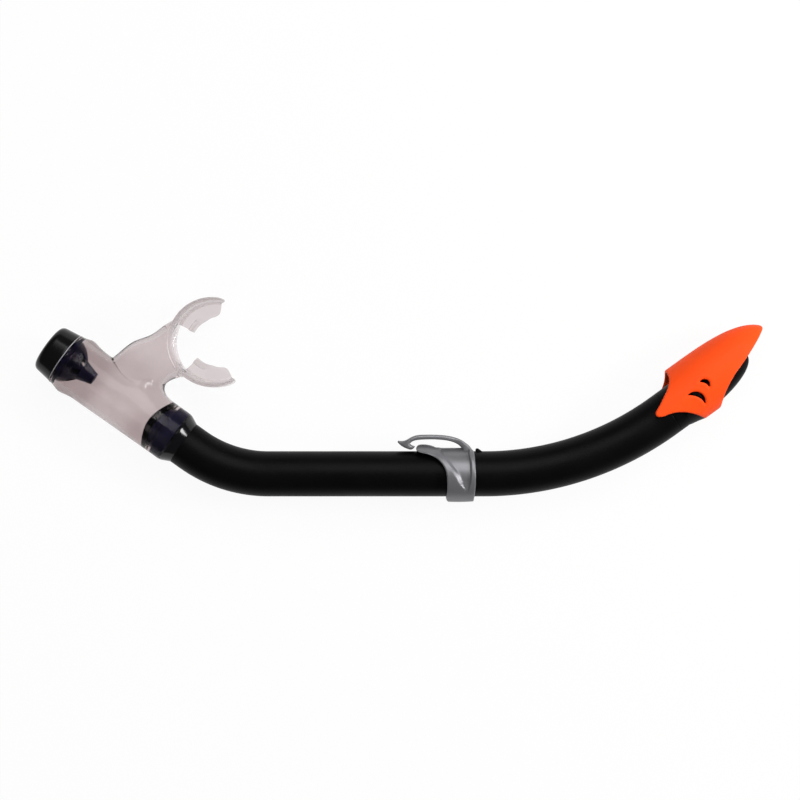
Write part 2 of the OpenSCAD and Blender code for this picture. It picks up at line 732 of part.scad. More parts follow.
// Sloping chin of the cowl that runs up to the hood's floor and stops short of the hood's jaw
module fairing(fair_r) {
    chin_len = 7;
    chin_y = -tube_r / 2;
    jaw_gap = 2 * fit_gap;
    difference() {
        translate([0, hood_rise, 0]) turned() polygon([
            [0, seat_ring_u - chin_len], [fair_r - hood_wall, seat_ring_u - chin_len],
            [fair_r, seat_ring_u - jaw_gap], [0, seat_ring_u - jaw_gap]]);
        translate([0, chin_y, -2 * hood_r]) cube([2 * hood_back + hood_r, 4 * hood_r, 4 * hood_r]);
        translate([-jaw_gap, 0, 0]) plate(4 * hood_r) hood_outline();
    }
}

// Side view of the hood: back edge, ears, open floor and the long tip
module hood_outline() {
    high = hood_rise + hood_r + cut;
    low = hood_rise - hood_r - cut;
    far_u = hood_back + hood_nose + cut;
    back = [hood_back - 1, high];
    brow_pull = [hood_back - 0.8, 14.4];
    brow = [hood_back - 11.4, 9.8];
    ear_top_pull = [ear_u + 5.5, 7.2];
    ear_top = [ear_u + 1.5, 5.7];
    ear_low_pull = [ear_u - 2.4, 2.85];
    ear_low = [ear_u + 3.7, 0.6];
    jaw_pull = [floor_u0 - 7.9, -1.2];
    chin_pull = [floor_u1 + 3.6, -8.6];
    chin = [floor_u1 + 17.9, -3.2];
    tip_pull = [tip_u - 13.4, tip_rise - 5.8];
    tip = [tip_u, tip_rise];
    polygon(concat(
        [[far_u, high]],
        bend(back, brow_pull, brow),
        bend(brow, ear_top_pull, ear_top),
        bend(ear_top, ear_low_pull, ear_low),
        bend(ear_low, jaw_pull, [floor_u0, low]),
        [[floor_u0, low]],
        bend([floor_u1, low], chin_pull, chin),
        bend(chin, tip_pull, tip),
        [tip, [far_u, tip_rise]]));
}

// Crescent whose tips are a chord apart, bulging to +X between two arcs
module crescent(chord, rises) {
    outer_r = (chord * chord / 4 + rises[0] * rises[0]) / (2 * rises[0]);
    inner_r = (chord * chord / 4 + rises[1] * rises[1]) / (2 * rises[1]);
    difference() {
        translate([rises[0] - outer_r, 0]) circle(outer_r);
        translate([rises[1] - inner_r, 0]) circle(inner_r);
    }
}

// Orange shell over the cowl, open below its tip, with two gill slots on each flank
module splash_hood() {
    through = 4 * hood_r;
    color([1, 0.35, 0.14]) at_upper_end() difference() {
        intersection() {
            translate([0, hood_rise, 0]) difference() {
                turned() polygon(concat([[0, ear_u - cut], [hood_r, ear_u - cut]],
                    nose(hood_back, hood_nose, hood_r, hood_power)));
                turned() polygon(concat([[0, ear_u - 2 * cut], [hood_in_r, ear_u - 2 * cut]],
                    nose(hood_back, hood_nose - hood_wall, hood_in_r, hood_power)));
            }
            plate(through) hood_outline();
        }
        plate(through) {
            translate([hood_back, 0] + gill_at) rotate(gill_turn) crescent(gill_len, gill_rises);
            translate([hood_back, 0] + small_gill_at) rotate(small_gill_turn)
                crescent(small_gill_len, small_gill_rises);
        }
    }
}

tube();
lower_connector();
mouthpiece();
purge_body();
purge_flap();
purge_cap();
clip_collar();
clip_gate();
top_cowl();
splash_hood();
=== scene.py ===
"""A snorkel lying on its side on white paper, seen from straight above.

Lengths are in millimetres until a mesh is made. The tube is bent in the plane z = 17.9.
"""

import bpy
import numpy as np
from mathutils import Matrix


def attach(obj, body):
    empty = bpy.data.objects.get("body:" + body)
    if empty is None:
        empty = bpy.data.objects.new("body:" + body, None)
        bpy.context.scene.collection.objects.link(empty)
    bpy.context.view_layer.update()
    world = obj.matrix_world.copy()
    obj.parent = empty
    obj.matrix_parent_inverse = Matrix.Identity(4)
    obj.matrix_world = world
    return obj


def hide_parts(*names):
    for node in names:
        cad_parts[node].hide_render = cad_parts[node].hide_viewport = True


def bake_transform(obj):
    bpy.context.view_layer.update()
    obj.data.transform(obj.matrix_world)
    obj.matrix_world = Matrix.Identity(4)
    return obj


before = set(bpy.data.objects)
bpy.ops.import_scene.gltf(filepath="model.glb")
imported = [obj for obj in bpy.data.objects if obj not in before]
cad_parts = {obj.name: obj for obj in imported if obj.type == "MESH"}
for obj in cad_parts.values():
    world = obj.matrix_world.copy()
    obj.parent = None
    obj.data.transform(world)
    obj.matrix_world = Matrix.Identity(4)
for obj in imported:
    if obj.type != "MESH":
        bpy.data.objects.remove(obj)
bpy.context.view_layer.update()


# Breathing tube: black PVC, extruded straight and bent warm near both ends.
# A small ramp is moulded on beside the strap clip, and stops it from sliding up.
LIE_HEIGHT = 17.9
TUBE_RADIUS = 12.9
BORE_RADIUS = 11.1
LOWER_BEND = (74.0, np.radians(35.5))
UPPER_BEND = (174.0, np.radians(36.0))
LOWER_ARC = LOWER_BEND[0] * LOWER_BEND[1]
UPPER_ARC = UPPER_BEND[0] * UPPER_BEND[1]
STRAIGHT = 123.0
LOWER_STUB = 6.5
UPPER_STUB = 3.0
LOWER_END = np.array([-117.0980, -28.6782])


def set_down(points, origin, degrees):
    """Points of a piece's own frame turned about Z, moved to origin and put in metres."""
    turn = np.radians(degrees)
    x, y, z = np.moveaxis(np.asarray(points, float), -1, 0)
    out = [origin[0] + x * np.cos(turn) - y * np.sin(turn),
           origin[1] + x * np.sin(turn) + y * np.cos(turn), z + LIE_HEIGHT]
    return np.stack(out, axis=-1) / 1000


def make_mesh(name, points, quads):
    """Smooth-shaded object from an array of points and an array of quads."""
    mesh = bpy.data.meshes.new(name)
    mesh.vertices.add(len(points))
    mesh.vertices.foreach_set("co", np.ascontiguousarray(points, np.float32).ravel())
    mesh.loops.add(quads.size)
    mesh.loops.foreach_set("vertex_index", np.ascontiguousarray(quads, np.int32).ravel())
    mesh.polygons.add(len(quads))
    mesh.polygons.foreach_set("loop_start", np.arange(0, quads.size, 4, dtype=np.int32))
    mesh.polygons.foreach_set("use_smooth", np.ones(len(quads), bool))
    mesh.update(calc_edges=True)
    mesh.validate()
    piece = bpy.data.objects.new(name, mesh)
    bpy.context.scene.collection.objects.link(piece)
    return piece


def wrapped(name, points):
    """Closed skin over a grid of points that wraps in both directions, faces outwards.
    The sign of the summed tetrahedra under the quads tells which way the faces point."""
    rows, cols = points.shape[:2]
    a = np.arange(rows * cols).reshape(rows, cols)
    b, d = np.roll(a, -1, 0), np.roll(a, -1, 1)
    quads = np.stack([a, b, np.roll(b, -1, 1), d], -1).reshape(-1, 4)
    flat = points.reshape(-1, 3)
    p, q, r, s = (flat[quads[:, i]] for i in range(4))
    volume = np.sum(p * np.cross(q, r)) + np.sum(p * np.cross(r, s))
    return make_mesh(name, flat, quads if volume > 0 else quads[:, ::-1])


def centreline(s):
    """Place and heading at length s along the tube: stub, lower arc, straight, upper arc, stub.
    An arc of radius R adds R (sin h - sin h0, cos h0 - cos h) while the heading goes from h0 to h."""
    (r1, a1), (r2, _) = LOWER_BEND, UPPER_BEND
    past_stub = s - LOWER_STUB
    on_1 = np.clip(past_stub, 0, LOWER_ARC)
    on_2 = np.clip(past_stub - LOWER_ARC, 0, STRAIGHT)
    on_3 = np.clip(past_stub - LOWER_ARC - STRAIGHT, 0, UPPER_ARC)
    on_4 = np.maximum(past_stub - LOWER_ARC - STRAIGHT - UPPER_ARC, 0)
    before = np.minimum(past_stub, 0)
    h1 = -a1 + on_1 / r1
    h = h1 + on_3 / r2
    arcs_x = r1 * (np.sin(h1) + np.sin(a1)) + r2 * np.sin(on_3 / r2)
    arcs_y = r1 * (np.cos(a1) - np.cos(h1)) + r2 * (1 - np.cos(on_3 / r2))
    x = before * np.cos(a1) + arcs_x + on_2 + on_4 * np.cos(h)
    y = -before * np.sin(a1) + arcs_y + on_4 * np.sin(h)
    return LOWER_END[0] + x, LOWER_END[1] + y, h


STRAIGHT_MIDDLE = np.array(centreline(LOWER_STUB + LOWER_ARC + STRAIGHT / 2)[:2])
UPPER_END = np.array(centreline(LOWER_STUB + LOWER_ARC + STRAIGHT + UPPER_ARC)[:2])


def tube_skin():
    """Rings of radius r carried along the centreline, out along the wall and back along the bore."""
    rings, ring_points = 220, 96
    length = LOWER_STUB + LOWER_ARC + STRAIGHT + UPPER_ARC + UPPER_STUB
    # The sharp edges of both ends are broken over this much
    rim = np.array([0, 0.04, 0.15])
    along = np.concatenate([rim, np.linspace(1, length - 1, rings), length - rim[::-1]])
    inset = np.concatenate([rim[::-1], np.zeros(rings), rim])
    s = np.concatenate([along, along[::-1]])[:, None]
    r = np.concatenate([TUBE_RADIUS - inset, BORE_RADIUS + inset])[:, None]
    around = np.linspace(0, 2 * np.pi, ring_points, endpoint=False)[None, :]
    x, y, h = centreline(s)
    out = r * np.cos(around)
    grid = np.stack([x - np.sin(h) * out, y + np.cos(h) * out, LIE_HEIGHT + r * np.sin(around)], -1)
    return wrapped("tube_skin", grid / 1000)


def moulded_surface():
    """Node group for moulded plastic: cloudy change of colour and gloss, and a fine pebbled height."""
    group = bpy.data.node_groups.new("moulded_surface", "ShaderNodeTree")
    for label, kind, value in (("Color", "NodeSocketColor", (0.5, 0.5, 0.5, 1)),
                               ("Gloss", "NodeSocketFloat", 0.4), ("Cloud", "NodeSocketFloat", 0.1),
                               ("Pebble", "NodeSocketFloat", 0.1),
                               ("Pebble Scale", "NodeSocketFloat", 2500.0)):
        socket = group.interface.new_socket(label, in_out="INPUT", socket_type=kind)
        socket.default_value = value
    for label, kind in (("Color", "NodeSocketColor"), ("Roughness", "NodeSocketFloat"),
                        ("Normal", "NodeSocketVector")):
        group.interface.new_socket(label, in_out="OUTPUT", socket_type=kind)
    nodes, links = group.nodes, group.links
    given, result = nodes.new("NodeGroupInput"), nodes.new("NodeGroupOutput")
    where = nodes.new("ShaderNodeTexCoord")
    cloud = nodes.new("ShaderNodeTexNoise")
    cloud.inputs["Scale"].default_value = 60
    cloud.inputs["Detail"].default_value = 4
    pebble = nodes.new("ShaderNodeTexNoise")
    pebble.inputs["Detail"].default_value = 2
    links.new(where.outputs["Object"], cloud.inputs["Vector"])
    links.new(where.outputs["Object"], pebble.inputs["Vector"])
    links.new(given.outputs["Pebble Scale"], pebble.inputs["Scale"])
    # Cloudiness runs from 1 - Cloud to 1 + Cloud and scales colour and gloss alike
    low = nodes.new("ShaderNodeMath")
    low.operation = "SUBTRACT"
    low.inputs[0].default_value = 1
    high = nodes.new("ShaderNodeMath")
    high.inputs[0].default_value = 1
    links.new(given.outputs["Cloud"], low.inputs[1])
    links.new(given.outputs["Cloud"], high.inputs[1])
    spread = nodes.new("ShaderNodeMapRange")
    spread.inputs["From Min"].default_value = 0.3
    spread.inputs["From Max"].default_value = 0.7
    links.new(cloud.outputs["Fac"], spread.inputs["Value"])
    links.new(low.outputs[0], spread.inputs["To Min"])
    links.new(high.outputs[0], spread.inputs["To Max"])
    tint = nodes.new("ShaderNodeVectorMath")
    tint.operation = "SCALE"
    links.new(given.outputs["Color"], tint.inputs[0])
    links.new(spread.outputs["Result"], tint.inputs["Scale"])
    gloss = nodes.new("ShaderNodeMath")
    gloss.operation = "MULTIPLY"
    links.new(given.outputs["Gloss"], gloss.inputs[0])
    links.new(spread.outputs["Result"], gloss.inputs[1])
    bump = nodes.new("ShaderNodeBump")
    bump.inputs["Distance"].default_value = 0.0002
    links.new(given.outputs["Pebble"], bump.inputs["Strength"])
    links.new(pebble.outputs["Fac"], bump.inputs["Height"])
    links.new(tint.outputs["Vector"], result.inputs["Color"])
    links.new(gloss.outputs[0], result.inputs["Roughness"])
    links.new(bump.outputs["Normal"], result.inputs["Normal"])
    return group


def plastic(name, color, gloss, cloud, pebble, pebble_scale, specular=0.5):
    """Material whose colour, roughness and normal come from the moulded surface group."""
    material = bpy.data.materials.new(name)
    material.use_nodes = True
    shader = material.node_tree.nodes["Principled BSDF"]
    shader.inputs["Specular IOR Level"].default_value = specular
    surface = material.node_tree.nodes.new("ShaderNodeGroup")
    surface.node_tree = bpy.data.node_groups.get("moulded_surface") or moulded_surface()
    for label, value in (("Color", (*color, 1)), ("Gloss", gloss), ("Cloud", cloud), ("Pebble", pebble),
                         ("Pebble Scale", pebble_scale)):
        surface.inputs[label].default_value = value
    for source, target in (("Color", "Base Color"), ("Roughness", "Roughness"), ("Normal", "Normal")):
        material.node_tree.links.new(surface.outputs[source], shader.inputs[target])
    return material


def smooth_min(a, b, k):
    """The smaller of two fields, with the crease between them rounded over a width k."""
    h = np.clip(0.5 + 0.5 * (b - a) / k, 0, 1)
    return b + (a - b) * h - k * h * (1 - h)


def smooth_max(a, b, k):
    """The larger of two fields, with the edge between them rounded over a width k."""
    return -smooth_min(-a, -b, k)


def solid_skin(name, field, low, high, step, origin, degrees):
    """Closed skin where field(x, y, z) is zero; the field is negative inside.
    Each grid cell that the skin crosses gets one point, at the mean of the crossings on its edges,
    which then slides onto the skin along the field's gradient. Each crossed grid edge gets one quad."""
    lines = [np.arange(a, b + step, step) for a, b in zip(low, high)]
    x, y, z = np.meshgrid(*lines, indexing="ij", sparse=True)
    f = np.broadcast_to(field(x, y, z), (x.size, y.size, z.size))
    inside = f < 0
    unit = np.eye(3, dtype=int)
    corners = np.array(np.meshgrid([0, 1], [0, 1], [0, 1], indexing="ij")).reshape(3, 8).T
    cells = np.array(f.shape) - 1
    filled = sum(inside[i:i + cells[0], j:j + cells[1], k:k + cells[2]].astype(np.int8)
                 for i, j, k in corners)
    mixed = (filled > 0) & (filled < 8)
    number = np.full(mixed.shape, -1)
    number[mixed] = np.arange(mixed.sum())
    cell = np.argwhere(mixed)
    total, count = np.zeros(cell.shape), np.zeros(len(cell))
    for axis in range(3):
        for corner in corners[corners[:, axis] == 0]:
            a, b = cell + corner, cell + corner + unit[axis]
            fa, fb = f[tuple(a.T)], f[tuple(b.T)]
            crossed = (fa < 0) != (fb < 0)
            share = np.where(crossed, fa / np.where(crossed, fa - fb, 1), 0)
            total += crossed[:, None] * (a + share[:, None] * unit[axis])
            count += crossed
    points = np.array(low) + step * total / count[:, None]
    slides, reach, least_slope = 3, 0.05, 0.05
    for _ in range(slides):
        value = field(*points.T)
        slope = np.stack([(field(*(points + reach * e).T) - field(*(points - reach * e).T)) / (2 * reach)
                          for e in unit], -1)
        steepness = np.maximum(np.sum(slope * slope, 1), least_slope)
        move = -value[:, None] * slope / steepness[:, None]
        points = points + np.clip(move, -step / 2, step / 2)
    quads = []
    for axis in range(3):
        u, v = unit[(axis + 1) % 3], unit[(axis + 2) % 3]
        inner = [slice(1, -1)] * 3
        here, there = list(inner), list(inner)
        here[axis], there[axis] = slice(None, -1), slice(1, None)
        crossed = inside[tuple(here)] != inside[tuple(there)]
        edge = np.argwhere(crossed) + u + v
        loop = np.stack([number[tuple((edge + d).T)] for d in (-u - v, -v, 0 * u, -u)], -1)
        outward = inside[tuple(edge.T)]
        quads.append(np.where(outward[:, None], loop, loop[:, ::-1]))
    return make_mesh(name, set_down(points, origin, degrees), np.concatenate(quads))


def stop_ramp(x, y, z):
    """Block with a flat top and a slope towards the hood, sunk into the tube's wall."""
    start, length, top, half_width, foot = 56.5, 4.6, 14.5, 3.0, 12.0
    flat, fall = 0.8, 0.6
    slope = (y - top) * flat + np.maximum(x - start - length / 3, 0) * fall
    sides = smooth_max(np.abs(x - start - length / 2) - length / 2, np.abs(z) - half_width, 0.6)
    return smooth_max(smooth_max(slope, sides, 0.8), foot - np.hypot(y, z), 0.2)


tube = tube_skin()
ramp = solid_skin("clip_stop", stop_ramp, (55, 10, -5), (63, 17, 5), 0.25, STRAIGHT_MIDDLE, 0)
black_pvc = plastic("black_pvc", (0.0024, 0.0024, 0.0026), 0.42, 0.10, 0.06, 1800, 0.06)
for piece in (tube, ramp):
    piece.data.materials.append(black_pvc)
    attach(piece, "tube_body")
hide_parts("tube")


# Connector: a black moulded fitting, its plug glued into the tube's lower end. A sloping shoulder
# covers the tube's edge, and a spigot with a bead at its end carries the mouthpiece's sleeve.
LOWER_TURN = 180 - np.degrees(LOWER_BEND[1])
PLUG_END = -7.5
PLUG_RADIUS = 11.05
AIRWAY_RADIUS = 9.45
SHOULDER = 12.3
SHOULDER_RADIUS = 15.45
SPIGOT_RADIUS = 13.0
SPIGOT_END = 25.9
BEAD_RADIUS = 14.28
BEAD_SWEEP = 3.6
SWEEP_START = 16
SWEEP_LENGTH = 5


def filleted(corners, steps=5):
    """Closed outline through corners [along, radius, rounding], each corner replaced by an arc-like curve.
    The curve is the quadratic from rounding before the corner to rounding after it."""
    corners = np.array(corners, float)
    at, rounding = corners[:, :2], corners[:, 2:]
    to_last, to_next = np.roll(at, 1, 0) - at, np.roll(at, -1, 0) - at
    unit_last = to_last / np.linalg.norm(to_last, axis=1, keepdims=True)
    unit_next = to_next / np.linalg.norm(to_next, axis=1, keepdims=True)
    first, last = at + rounding * unit_last, at + rounding * unit_next
    s = np.linspace(0, 1, steps)[None, :, None]
    curve = (1 - s) ** 2 * first[:, None] + 2 * s * (1 - s) * at[:, None] + s * s * last[:, None]
    return curve.reshape(-1, 2)


def turned(name, outline, origin, degrees, around=128, push=None):
    """Closed outline of [along, radius] points turned round the piece's X axis."""
    angle = np.linspace(0, 2 * np.pi, around, endpoint=False)[None, :]
    along, radius = outline[:, :1], outline[:, 1:]
    x = along + (push(along, angle) if push else 0 * angle)
    grid = np.stack([x, radius * np.cos(angle), radius * np.sin(angle)], -1)
    return wrapped(name, set_down(grid, origin, degrees))


def soft_step(s):
    """Runs from 0 to 1 over s = 0 to 1, level at both ends."""
    s = np.clip(s, 0, 1)
    return s * s * (3 - 2 * s)


def spigot_sweep(along, angle):
    """The spigot's end runs further up the barrel on the two flanks than at the mouth and the back."""
    return BEAD_SWEEP * soft_step((along - SWEEP_START) / SWEEP_LENGTH) * np.sin(angle) ** 2


CONNECTOR_OUTLINE = [
    (PLUG_END, AIRWAY_RADIUS, 0.3), (PLUG_END, 10.6, 0.3), (0, PLUG_RADIUS, 0.2),
    (LOWER_STUB, PLUG_RADIUS, 0.1), (LOWER_STUB, TUBE_RADIUS, 0.1), (11.8, SHOULDER_RADIUS, 0.9),
    (SHOULDER, SHOULDER_RADIUS, 0.2), (SHOULDER, SPIGOT_RADIUS, 0.3), (21.9, SPIGOT_RADIUS, 0.4),
    (22.4, BEAD_RADIUS, 0.3), (25.3, BEAD_RADIUS, 0.4), (SPIGOT_END, SPIGOT_RADIUS, 0.3),
    (SPIGOT_END, AIRWAY_RADIUS, 0.3)]
connector = turned("connector", filleted(CONNECTOR_OUTLINE), LOWER_END, LOWER_TURN, push=spigot_sweep)
fitting_plastic = plastic("fitting_plastic", (0.0024, 0.0024, 0.0034), 0.13, 0.10, 0.03, 2000, 0.3)
spigot_plastic = plastic("spigot_plastic", (0.022, 0.023, 0.056), 0.6, 0.10, 0.05, 2000, 0.03)
for material in (fitting_plastic, spigot_plastic):
    connector.data.materials.append(material)
# The spigot takes the duller material: faces past the shoulder, save the bead, by their place along
# the lower end's axis and their distance from it
centres = np.empty(len(connector.data.polygons) * 3)
connector.data.polygons.foreach_get("center", centres)
centres = centres.reshape(-1, 3) * 1000
heading = np.array([np.cos(np.radians(LOWER_TURN)), np.sin(np.radians(LOWER_TURN))])
along = (centres[:, :2] - LOWER_END) @ heading
beside = (centres[:, :2] - LOWER_END) @ np.array([-heading[1], heading[0]])
from_axis = np.hypot(beside, centres[:, 2] - LIE_HEIGHT)
spigot = (along > SHOULDER) & (from_axis < SPIGOT_RADIUS + 0.2)
connector.data.polygons.foreach_set("material_index", spigot.astype(np.int32))
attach(connector, "tube_body")
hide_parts("lower_connector")


# Purge valve: a dark moulded insert pushed into the barrel's end from outside, with a ring, a seat
# with spokes and a cone-shaped cage, and a soft mushroom flap pulled through the seat's hub.
SEAM = 89.6
VALVE_RADIUS = 13.05
VALVE_BORE = 11.05
SEAT_MIDDLE = 88.95
VALVE_OUTLINE = np.array([
    (69.1, -1), (69.1, 3.5), (78.1, 6.1), (84.6, VALVE_RADIUS), (86.1, VALVE_RADIUS), (86.1, 13.4),
    (88.1, 13.4), (88.1, VALVE_RADIUS), (92.8, VALVE_RADIUS), (92.8, VALVE_BORE), (89.55, VALVE_BORE),
    (89.55, 9.55), (88.35, 9.55), (88.35, VALVE_BORE), (84.6, VALVE_BORE), (78.1, 5.0), (70.2, 2.4),
    (70.2, -1)])


def outline_field(x, y, points):
    """Signed distance in the plane to a closed outline: the least distance to its edges, negative inside.
    A point is inside if a line from it crosses an odd number of edges."""
    ax, ay = points[:, 0], points[:, 1]
    bx, by = np.roll(ax, -1), np.roll(ay, -1)
    x, y = np.broadcast_arrays(x, y)
    px, py = x[..., None] - ax, y[..., None] - ay
    ex, ey = bx - ax, by - ay
    share = np.clip((px * ex + py * ey) / (ex * ex + ey * ey), 0, 1)
    far = np.min((px - share * ex) ** 2 + (py - share * ey) ** 2, axis=-1)
    y = y[..., None]
    crossing = ((ay <= y) != (by <= y)) & (px < ex * (y - ay) / np.where(ey == 0, 1, ey))
    return np.sqrt(far) * np.where(np.sum(crossing, axis=-1) % 2 == 1, -1, 1)


def sixth_turn(y, z, degrees):
    """Turn about the axis from the nearest of six directions, the first of them at degrees."""
    sector = np.radians(60)
    angle = np.arctan2(z, y) - np.radians(degrees)
    return angle - sector * np.round(angle / sector)


def valve_field(t, y, z):
    """Ring and cage turned about the axis, less six windows, with six spokes and a pierced hub."""
    radius = np.hypot(y, z)
    window_turn, window_half, window_middle, window_reach, window_foot = 15, 1.7, 80.2, 2.1, 3.5
    window = np.maximum(np.abs(radius * np.sin(sixth_turn(y, z, window_turn))) - window_half,
                        np.abs(t - window_middle) - window_reach)
    window = np.maximum(window, window_foot - radius)
    shell = smooth_max(outline_field(t, radius, VALVE_OUTLINE), -window, 0.3)
    spoke_half, spoke_middle, spoke_reach, seat_half = 0.7, 6.6, 3.6, 0.6
    spoke = np.maximum(np.abs(radius * np.sin(sixth_turn(y, z, 0))) - spoke_half,
                       np.abs(radius - spoke_middle) - spoke_reach)
    hub_middle, hub_half = 2.6, 0.9
    hub = np.abs(radius - hub_middle) - hub_half
    seat = np.maximum(np.minimum(spoke, hub), np.abs(t - SEAT_MIDDLE) - seat_half)
    return np.minimum(shell, seat)


valve = solid_skin("valve_skin", valve_field, (68, -15.4, -15.4), (94, 15.4, 15.4), 0.4,
                   LOWER_END, LOWER_TURN)
valve.data.materials.append(plastic("valve_plastic", (0.009, 0.009, 0.040), 0.36, 0.1, 0.05, 1500, 0.12))
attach(valve, "mouthpiece_body")
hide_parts("purge_body")
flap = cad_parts["purge_flap"]
flap.data.materials.clear()
flap.data.materials.append(plastic("flap_rubber", (0.55, 0.53, 0.53), 0.45, 0.06, 0.05, 1200))


# Mouthpiece: one soft moulding of clear silicone. The barrel holds the connector's spigot at one
# end and the valve at the other; the stem widens into the lip plate, which carries two bite tabs.
SLEEVE_START = 12.6
SLEEVE_RADIUS = 13.1
SLEEVE_GRIP = 0.16
GRIP_END = 20.5
GROOVE_DEPTH = 1.12
GROOVE_START = 21.3
GROOVE_END = 42 + BEAD_SWEEP
GROOVE_SLOPE = 16
BARREL_BACK = (0, 6, 22, 41, 64, 77)
BARREL_RADIUS = (15.55, 15.9, 16.0, 15.8, 15.65, 15.65)
SEAL_THICK = 0.36
LIP_ALONG = 43.3
LIP_OUT = 40.5
MOUTH_TURN = np.radians(180 + 43.5)
LIP_CURVE = 24.4
LIP_DROP = 0.5
STEM_UPPER = np.array([(-39.33, -3.4), (-12.0, 11.0), (8.70, 17.5)])
STEM_LOWER = np.array([(-11.63, -33.77), (-12.9, -15.0), (8.70, -17.5)])
STEM_LENGTH = 30
STEM_ROOT_RISE = 11.2
STEM_LIP_RISE = 12.0
STEM_WAVE = 1.5
WAVE_START = 0.08
WAVE_LENGTH = 0.72
ROOT_FLAT = (40.0, -14.9, 11.3)
ROOT_FLAT_FACING = (-0.401, -0.384, 0.832)
ROOT_FLAT_RADIUS = 4.9


def quadratic(control, s):
    """Point at s of the quadratic curve with three control points, as an x and a y array."""
    (x0, y0), (x1, y1), (x2, y2) = control
    return ((1 - s) ** 2 * x0 + 2 * s * (1 - s) * x1 + s * s * x2,
            (1 - s) ** 2 * y0 + 2 * s * (1 - s) * y1 + s * s * y2)


def stem_field(x, y, z, wall, end_drop, height):
    """Oval sections strung between an upper and a lower curve, drawn in by wall. The upper curve has a
    slow wave. The section through a point is found by halving: the chord of s turns past the point as
    s grows."""
    lower = STEM_LOWER + np.array([(0, 0), (0, 0), (0, end_drop)])
    upper = STEM_UPPER - np.array([(0, 0), (0, 0), (0, end_drop)])
    first, last, halvings = -0.25, 1.3, 22
    shape = np.broadcast(x, y).shape
    low, high = np.full(shape, first), np.full(shape, last)
    for _ in range(halvings):
        s = (low + high) / 2
        (ux, uy), (lx, ly) = quadratic(upper, s), quadratic(lower, s)
        on_wave = np.clip((s - WAVE_START) / WAVE_LENGTH, 0, 1)
        uy = uy + STEM_WAVE * np.sin(2 * np.pi * on_wave) * np.sin(np.pi * on_wave)
        past = (ux - lx) * (y - ly) - (uy - ly) * (x - lx) < 0
        low, high = np.where(past, s, low), np.where(past, high, s)
    width = np.hypot(ux - lx, uy - ly)
    across = ((x - (ux + lx) / 2) * (ux - lx) + (y - (uy + ly) / 2) * (uy - ly)) / width
    half = np.maximum(width / 2 - wall, 1)
    rise = STEM_ROOT_RISE + (height - STEM_ROOT_RISE) * np.clip(s, 0, 1) - wall
    oval = np.sqrt((across / half) ** 2 + (z / rise) ** 2)
    ends = np.maximum(first + 0.05 - s, s - last + 0.05) * STEM_LENGTH
    return np.maximum((oval - 1) * np.minimum(half, rise), ends)


def lip_field(x, y, z):
    """Lip plate bent round a circle, thinner towards its rounded edge, with a bite tab on each arm.
    The tab's inner edge carries a ridge for the teeth, which tapers towards the tab's far end."""
    half_length, half_height, power = 46.6, 17.2, 4.5
    plate_half, plate_thinning = 1.35, 0.35
    from_middle = np.hypot(x - LIP_CURVE, y)
    turn = np.arctan2(np.abs(y), LIP_CURVE - x)
    edge = ((LIP_CURVE * turn / half_length) ** power + (np.abs(z) / half_height) ** power) ** (1 / power)
    thick = plate_half - plate_thinning * np.clip(edge, 0, 1) ** 3
    plate = smooth_max(np.abs(from_middle - LIP_CURVE) - thick, (edge - 1) * half_height, 0.9)
    tab_turn, tab_half = np.radians(71.5), np.radians(36.5)
    tab_inner, tab_outer, tab_half_height = 13.5, 23.7, 2.0
    ends = (np.abs(turn - tab_turn) - tab_half) * from_middle
    tab_inner = tab_inner + 1.4 * soft_step((turn - np.radians(76)) / np.radians(32))
    tab_corner = 0.8 + 2.4 * soft_step((turn - tab_turn) / 0.3)
    tab = np.maximum(tab_inner - from_middle, from_middle - tab_outer)
    tab = smooth_max(smooth_max(tab, ends, tab_corner), np.abs(z) - tab_half_height, 1.4)
    ridge_middle, ridge_half, ridge_top, ridge_taper = 14.7, 1.2, 5.0, 7.4
    ridge_height = ridge_top - ridge_taper * soft_step((turn - np.radians(48)) / np.radians(50))
    ridge = smooth_max(np.abs(from_middle - ridge_middle) - ridge_half, np.abs(z) - ridge_height, 2.2)
    ridge = smooth_max(ridge, ends, 0.8)
    return smooth_min(plate, smooth_min(tab, ridge, 2.0), 2.0)


def mouth_place(t, y):
    """Place in the lip's frame, which lies out from the barrel and is turned towards the mouth."""
    dx, dy = t - LIP_ALONG, y + LIP_OUT
    return (dx * np.cos(MOUTH_TURN) + dy * np.sin(MOUTH_TURN),
            -dx * np.sin(MOUTH_TURN) + dy * np.cos(MOUTH_TURN))


def root_fillet(my):
    """Width of the fillet at the stem's root, which is wide only at the lower side."""
    return 7.5 * soft_step((-12 - my) / 10)


def passage_field(t, y, z):
    """The way through for breath: the barrel's bore run together with the stem's inside."""
    # The groove is as wide as the swept bead all round, so that the mouthpiece can turn, and its far
    # wall slopes back to the bore
    groove = soft_step((t - GROOVE_START) / 0.7) * soft_step((GROOVE_END - t) / GROOVE_SLOPE)
    bore = np.hypot(y, z) - SLEEVE_RADIUS - GROOVE_DEPTH * groove
    bore = bore + SLEEVE_GRIP * soft_step(GRIP_END - t)
    # The stem's inside opens at the plate and stays clear of the bite tabs
    plate_depth = 2.6
    mx, my = mouth_place(t, y)
    inner = np.maximum(stem_field(mx, my, z, wall=2.3, end_drop=3.2, height=10.8), y + 6)
    inner = np.maximum(inner, LIP_CURVE - plate_depth - np.hypot(mx - LIP_CURVE, my))
    return smooth_min(bore, inner, 2.5 + 0.7 * root_fillet(my))


